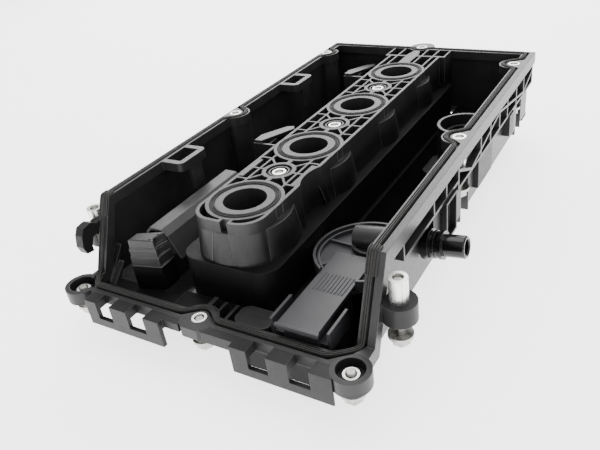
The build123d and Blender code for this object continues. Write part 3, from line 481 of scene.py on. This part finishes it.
bm = bmesh.new()
closed_sweep(bm, dense(gasket_path(), 1.6), BEAD)
gasket = make("gasket_bead", bm, RUBBER)
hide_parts("perimeter_gasket")

# ---------------------------------------------------------------------------
# Ribbed pads where the gasket turns down the two slopes
# ---------------------------------------------------------------------------
PAD = [(-3.6, -0.9), (3.6, -0.9), (3.6, 0.95), (2.9, 0.95), (2.6, 0.3), (2.2, 0.3), (1.9, 1.0),
       (1.3, 1.0), (1.0, 0.3), (0.6, 0.3), (0.3, 1.05), (-0.3, 1.05), (-0.6, 0.3), (-1.0, 0.3),
       (-1.3, 1.0), (-1.9, 1.0), (-2.2, 0.3), (-2.6, 0.3), (-2.9, 0.95), (-3.6, 0.95)]
# How the pads run over the edge: y, z and the way that is up there
OVER_EDGE = [(-25.6, 0.0, FLAT), (-26.6, -0.3, (FLAT * 2 + SLOPE_UP).normalized()),
             (-27.3, -1.2, (FLAT + SLOPE_UP * 2).normalized()), (-28.2, -2.8, SLOPE_UP),
             (-33.0, -13.04, SLOPE_UP)]
for name, pad_x, start_y in (("gasket_pad_left", X_L - 0.2, -21.0),
                             ("gasket_pad_right", X_R + 0.4, -22.0)):
    bm = bmesh.new()
    fall = [(start_y, 0.0, FLAT)] + OVER_EDGE
    add_swept(bm, [Vector((pad_x, y, z)) for y, z, _ in fall], PAD, [up for _, _, up in fall])
    make(name, bm, RUBBER, smooth=False, bevel=0.12)

# ---------------------------------------------------------------------------
# Lipped seals round the plug wells
# ---------------------------------------------------------------------------
LIPS = [(20.4, -4.9), (23.8, -4.9), (23.8, -0.2), (23.5, 0.65), (23.1, 0.65), (22.85, -0.5),
        (22.45, -0.5), (22.2, 0.75), (21.9, 0.75), (21.65, -0.5), (21.25, -0.5), (21.0, 0.65),
        (20.6, 0.65), (20.4, -0.2)]
for number in range(1, 5):
    low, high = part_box(f"plug_seal_{number}")
    middle = (low + high) / 2 / MM
    bm = bmesh.new()
    add_revolved(bm, LIPS, middle.x, middle.y)
    seal = make(f"well_seal_{number}", bm, SEAL)
    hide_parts(f"plug_seal_{number}")

# ---------------------------------------------------------------------------
# Stepped oil baffle tower at the front left
# ---------------------------------------------------------------------------
TOWER_RIGHT = -52.8
TOWER = [(-71.6, -44.6), (TOWER_RIGHT, -39.8), (TOWER_RIGHT, -36.6), (TOWER_RIGHT, -33.8),
         (TOWER_RIGHT, -27.2), (-71.6, -35.2)]
TOWER_MID = Vector((-62.2, -36.6))
NOTCHED = (2, 3)                # the corners that the notch moves in
HOOD_FRONT = -26.05             # the tower stays clear of the hood behind it
SHADE_FROM = -0.042             # below this height the tower takes the painted-shade copy of the nylon


def tower_ring(grow, z, notch):
    """Outline of the tower at a height, grown outwards, with a notch in its right side."""
    ring = []
    for k, (x, y) in enumerate(TOWER):
        p = Vector((x, y))
        p += (p - TOWER_MID).normalized() * grow
        if k in NOTCHED:
            p.x = TOWER_RIGHT + grow - notch
        ring.append((p.x, min(p.y, HOOD_FRONT), z))
    return ring


bm = bmesh.new()
add_lofted(bm, [tower_ring(*row) for row in (
    (-1.1, -20.0, 2.4), (-0.3, -20.35, 2.4), (0.0, -21.0, 2.4), (0.0, -25.0, 2.2),
    (0.3, -25.2, 2.2), (0.3, -25.7, 2.2), (0.1, -25.9, 2.2), (0.1, -26.8, 2.2),
    (0.8, -27.1, 2.0), (0.8, -28.6, 2.0),
    (1.0, -28.8, 1.9), (1.0, -29.3, 1.9), (0.8, -29.5, 1.9), (0.8, -33.4, 1.8), (1.5, -33.8, 1.0),
    (1.5, -40.6, 1.0), (2.1, -41.0, 0.0), (2.2, -59.4, 0.0))])
for knob_x, knob_y in ((-56.2, -38.4), (-55.0, -31.4)):
    add_lofted(bm, [[(knob_x + r * cos(pi * k / 8), knob_y + r * sin(pi * k / 8), z)
                     for k in range(16)]
                    for r, z in ((1.2, -20.6), (1.1, -19.7), (0.7, -19.3))])
tower = make("baffle_tower", bm, NYLON, smooth=False, bevel=0.3)
# Painted shade: the low faces of the tower take the dark copy of the nylon.
tower.data.materials.append(NYLON_DEEP_SHADE)
for face in tower.data.polygons:
    face.material_index = 1 if face.center.z < SHADE_FROM else 0
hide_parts("baffle_block")

# ---------------------------------------------------------------------------
# Filler cap with a gripped rim and a finger bar
# ---------------------------------------------------------------------------
low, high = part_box("filler_cap")
CAP = (low + high) / 2 / MM
GRIPS = 30
RIM_STEPS = GRIPS * 6
BAR_STEPS = 40
BAR_POWER = 0.35                # below 1, so that the bar's outline is a rounded rectangle


def rim_ring(radius, depth, z):
    """Round outline with grip hollows of the given depth."""
    ring = []
    for k in range(RIM_STEPS):
        a = 2 * pi * k / RIM_STEPS
        r = radius - depth * (0.5 + 0.5 * cos(GRIPS * a))
        ring.append((CAP.x + r * cos(a), CAP.y + r * sin(a), z))
    return ring


def bar_ring(half_x, half_y, z):
    """Outline of the finger bar."""
    ring = []
    for k in range(BAR_STEPS):
        a = 2 * pi * k / BAR_STEPS
        c, s = cos(a), sin(a)
        ring.append((CAP.x + half_x * abs(c) ** BAR_POWER * (1 if c > 0 else -1),
                     CAP.y + half_y * abs(s) ** BAR_POWER * (1 if s > 0 else -1), z))
    return ring


bm = bmesh.new()
add_lofted(bm, [rim_ring(*row) for row in (
    (10.1, 0, -76.0), (10.1, 0, -77.85), (19.0, 0.2, -77.85), (19.5, 0.7, -78.3),
    (19.5, 0.7, -81.1), (18.9, 0.3, -81.8), (17.6, 0, -82.0), (14.0, 0, -81.7))])
add_lofted(bm, [bar_ring(*row) for row in (
    (17.2, 3.7, -81.4), (16.9, 3.4, -84.5), (16.3, 2.8, -85.2))])
add_revolved(bm, [(12.5, -77.85), (12.5, -71.4), (12.1, -71.0), (10.4, -71.0), (10.0, -71.4),
                  (10.0, -77.85)], CAP.x, CAP.y)
cap = make("filler_cap_gripped", bm, NYLON, body="oil_cap")
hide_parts("filler_cap")

# ---------------------------------------------------------------------------
# Valve spring, which the diaphragm presses down on
# ---------------------------------------------------------------------------
low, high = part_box("valve_spring")
SPRING = (low + high) / 2 / MM
WIRE_R, TURNS = 0.65, 4.5
COIL_R = (high.x - low.x) / 2 / MM - 0.85       # to the middle of the wire
COIL_LOW, COIL_RISE = low.z / MM + 0.8, (high.z - low.z) / MM - 1.7
TURN_STEPS, WIRE_SIDES = 28, 10
COIL_STEPS = int(TURNS * TURN_STEPS)
rings = []
for k in range(COIL_STEPS + 1):
    a = 2 * pi * k / TURN_STEPS
    out = Vector((cos(a), sin(a), 0))
    middle = Vector((SPRING.x, SPRING.y, COIL_LOW + COIL_RISE * k / COIL_STEPS)) + out * COIL_R
    turns = [2 * pi * i / WIRE_SIDES for i in range(WIRE_SIDES)]
    rings.append([middle + (out * cos(t) + FLAT * sin(t)) * WIRE_R for t in turns])
bm = bmesh.new()
add_lofted(bm, rings)
spring = make("valve_spring_coil", bm, WIRE)
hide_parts("valve_spring")
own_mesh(spring)

# ---------------------------------------------------------------------------
# Rolled seams of the two tall sleeves
# ---------------------------------------------------------------------------
low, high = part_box("sleeves_tall")
SEAM_LOW, SEAM_HIGH = -25.8, high.z / MM - 0.5
SEAM_SECTION = ((5.5, -1.8), (5.64, -1.8), (5.64, 1.8), (5.5, 1.8))     # radius, degrees
bm = bmesh.new()
for axis_x, axis_y, heading in ((120.0, -32.0, -48.0), (-115.5, -29.5, -100.0)):
    ring = []
    for r, turned in SEAM_SECTION:
        a = radians(heading + turned)
        ring.append((axis_x + r * cos(a), axis_y + r * sin(a)))
    add_upright(bm, ring, SEAM_LOW, SEAM_HIGH)
make("sleeve_seams", bm, WIRE, smooth=False)

# ---------------------------------------------------------------------------
# Stiffening ribs on the plain outer faces of the left and back walls
# ---------------------------------------------------------------------------
RIB_LOW, RIB_HIGH = -58.0, -8.1             # the upright ribs
RAIL_LOW, RAIL_HIGH = -34.0, -32.4          # the level ones
RIB_HALF = 0.8
LEFT_IN = -105.8                            # a little inside the wall, to leave no gap
LEFT_OUT, LEFT_RAIL_OUT = -106.9, -106.8
BACK_IN, BACK_OUT, BACK_RAIL_OUT = 2.3, 0.5, 0.7        # back from the flange's edge

bm = bmesh.new()
for rib_y in (-14.0, 22.0, 58.0, 94.0, 168.0, 204.0, 240.0, 276.0):
    y0, y1 = rib_y - RIB_HALF, rib_y + RIB_HALF
    add_upright(bm, [(LEFT_OUT, y0), (LEFT_IN, y0), (LEFT_IN, y1), (LEFT_OUT, y1)],
                RIB_LOW, RIB_HIGH)
for y0, y1 in ((-14.0, 112.0), (150.0, 288.0)):
    add_upright(bm, [(LEFT_RAIL_OUT, y0), (LEFT_IN, y0), (LEFT_IN, y1), (LEFT_RAIL_OUT, y1)],
                RAIL_LOW, RAIL_HIGH)
for rib_x in (-90.0, -64.0, -38.0, 32.0, 58.0, 84.0):
    x0, x1, edge = rib_x - RIB_HALF, rib_x + RIB_HALF, back_y(rib_x)
    add_upright(bm, [(x0, edge - BACK_IN), (x1, edge - BACK_IN), (x1, edge - BACK_OUT),
                     (x0, edge - BACK_OUT)], RIB_LOW, RIB_HIGH)
for x0, x1 in ((-98.0, -18.0), (12.0, 98.0)):
    add_upright(bm, [(x0, back_y(x0) - BACK_IN), (x1, back_y(x1) - BACK_IN),
                     (x1, back_y(x1) - BACK_RAIL_OUT), (x0, back_y(x0) - BACK_RAIL_OUT)],
                RAIL_LOW, RAIL_HIGH)
make("wall_ribs", bm, NYLON, smooth=False, bevel=0.2)

# ---------------------------------------------------------------------------
# Light, floor, camera
# ---------------------------------------------------------------------------
FLOOR_HALF = 4.0
FLOOR_GAP = 0.0002              # keeps the floor just under the object
floor_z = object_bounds()[0][2]

mesh = bpy.data.meshes.new("floor")
bm = bmesh.new()
bmesh.ops.create_grid(bm, x_segments=8, y_segments=8, size=FLOOR_HALF)
bm.to_mesh(mesh)
bm.free()
floor = bpy.data.objects.new("floor", mesh)
floor.location = (0, 0.13, floor_z - FLOOR_GAP)
bpy.context.scene.collection.objects.link(floor)
mat, tree, shader, where = start("pale_floor")
tree.links.new(ramp(tree, noise(tree, where, 3, 2), (0.90, 0.90, 0.90), (0.93, 0.93, 0.93)),
               shader.inputs["Base Color"])
shader.inputs["Roughness"].default_value = 0.9
shader.inputs["Specular IOR Level"].default_value = 0.1
shader.inputs["Emission Color"].default_value = (1, 1, 1, 1)
shader.inputs["Emission Strength"].default_value = 2.6
mesh.materials.append(mat)

world = bpy.data.worlds.new("studio")
bpy.context.scene.world = world
world.use_nodes = True
background = world.node_tree.nodes["Background"]
background.inputs["Color"].default_value = (1, 1, 1, 1)
background.inputs["Strength"].default_value = 0.9

LIT_POINT = Vector((0, 0.1, 0))


def area(name, at, size, power):
    """Soft rectangular light, size in metres and power in watts, aimed at the object."""
    light = bpy.data.lights.new(name, "AREA")
    light.shape = "RECTANGLE"
    light.size, light.size_y = size
    light.energy = power
    obj = bpy.data.objects.new(name, light)
    obj.location = at
    obj.rotation_euler = (LIT_POINT - Vector(at)).to_track_quat("-Z", "Y").to_euler()
    bpy.context.scene.collection.objects.link(obj)


area("overhead", (0.0, 0.45, 1.5), (1.4, 1.4), 24)
area("back_strip", (-0.7, 1.5, 0.75), (1.6, 0.7), 24)
area("side_fill", (1.5, -0.3, 0.5), (1.0, 0.8), 4)

# Camera place and axes, recovered from the plug wells, flange edges and bolts
EYE = Vector((0.23003, -0.27841, 0.18935))
RIGHT = Vector((0.85958, 0.49564, -0.12434))
UP = Vector((-0.16645, 0.50164, 0.84891))
FORWARD = Vector((-0.48313, 0.70901, -0.51370))
camera_data = bpy.data.cameras.new("camera")
camera_data.lens = 37.04
camera_data.sensor_width = 36.0
camera_data.clip_start = 0.02
camera_data.clip_end = 30.0
camera = bpy.data.objects.new("camera", camera_data)
turn = Matrix((RIGHT, UP, -FORWARD)).transposed().to_4x4()
camera.matrix_world = Matrix.Translation(EYE) @ turn
bpy.context.scene.collection.objects.link(camera)
bpy.context.scene.camera = camera
